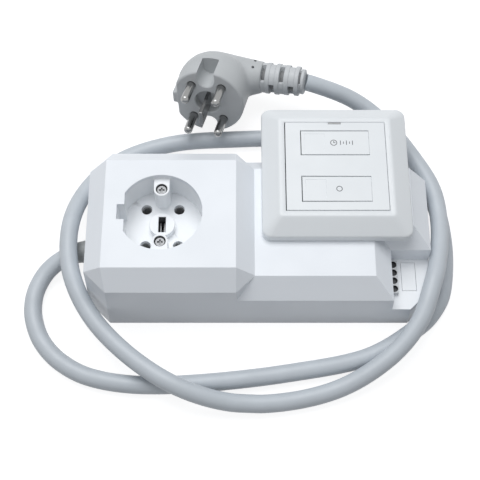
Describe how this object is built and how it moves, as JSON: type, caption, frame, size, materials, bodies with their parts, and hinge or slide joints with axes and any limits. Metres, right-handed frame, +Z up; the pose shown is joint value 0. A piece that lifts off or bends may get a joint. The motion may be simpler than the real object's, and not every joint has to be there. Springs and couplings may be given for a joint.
{
  "type": "stove timer",
  "caption": "Plug-in stove timer: a faceted white power unit with a round five-pole socket, a looped grey mains lead with an angled plug, and a square panel with flap keys.",
  "frame": {"origin": "middle of the power unit's base, on the surface it stands on", "axes": "+X to the right along the unit's length, -Y to the front, +Z up"},
  "size_m": [0.241, 0.2211, 0.0502],
  "materials": {
    "white_plastic": "satin moulded",
    "base_plastic": "matt moulded",
    "grey_sheath": "smooth PVC sheath",
    "grey_plug": "fine matt moulded",
    "nickel": "nickel plated",
    "steel": "zinc plated",
    "dark_plastic": "matt",
    "board_green": "solder mask",
    "block_green": "matt",
    "relay_blue": "matt",
    "winding": "taped",
    "core_brown": "PVC",
    "lens_dark": "gloss"
  },
  "bodies": {
    "power_unit": {"top_cover": "white_plastic", "base_plate": "base_plastic", "case_screws": "steel", "socket_cup": "white_plastic", "socket_screws": "steel", "contact_carrier": "dark_plastic", "phase_contacts": "nickel", "earth_contact": "nickel", "main_board": "board_green", "board_screws": "steel", "power_relays": "relay_blue", "transformer": "winding", "mains_terminals": "block_green", "core_leads": "core_brown", "cord_gland": "dark_plastic", "cord_tail": "grey_sheath", "cord_clamp": "dark_plastic", "clamp_screws": "steel", "control_terminals": "dark_plastic", "entry_blank": "white_plastic", "mains_cord": "grey_sheath", "plug_body": "grey_plug", "plug_strain_relief": "grey_sheath", "plug_pins": "nickel", "plug_earth_blade": "nickel"},
    "control_panel": {"panel_frame": "white_plastic", "panel_base": "base_plastic", "panel_board": "board_green", "panel_screws": "steel", "key_switches": "dark_plastic", "panel_terminals": "block_green", "indicator_lens": "lens_dark", "centre_plate": "white_plastic"},
    "timer_key": {"timer_key": "white_plastic", "timer_plunger": "base_plastic"},
    "off_key": {"off_key": "white_plastic", "off_plunger": "base_plastic"}
  },
  "joints": [
    {"name": "panel_lift", "type": "slide", "parent": "power_unit", "child": "control_panel", "axis": [0, 0, 1], "range_m": [0, 0.06]},
    {"name": "timer_press", "type": "hinge", "parent": "control_panel", "child": "timer_key", "pos_m": [0.0605, 0.0428, 0.0492], "axis": [0, -1, 0], "range_deg": [0, 1.6], "stiffness_Nm_per_rad": 1, "springref_deg": -0.57},
    {"name": "off_press", "type": "hinge", "parent": "control_panel", "child": "off_key", "pos_m": [0.0605, 0.0138, 0.0492], "axis": [0, -1, 0], "range_deg": [0, 1.6], "stiffness_Nm_per_rad": 1, "springref_deg": -0.57}
  ]
}
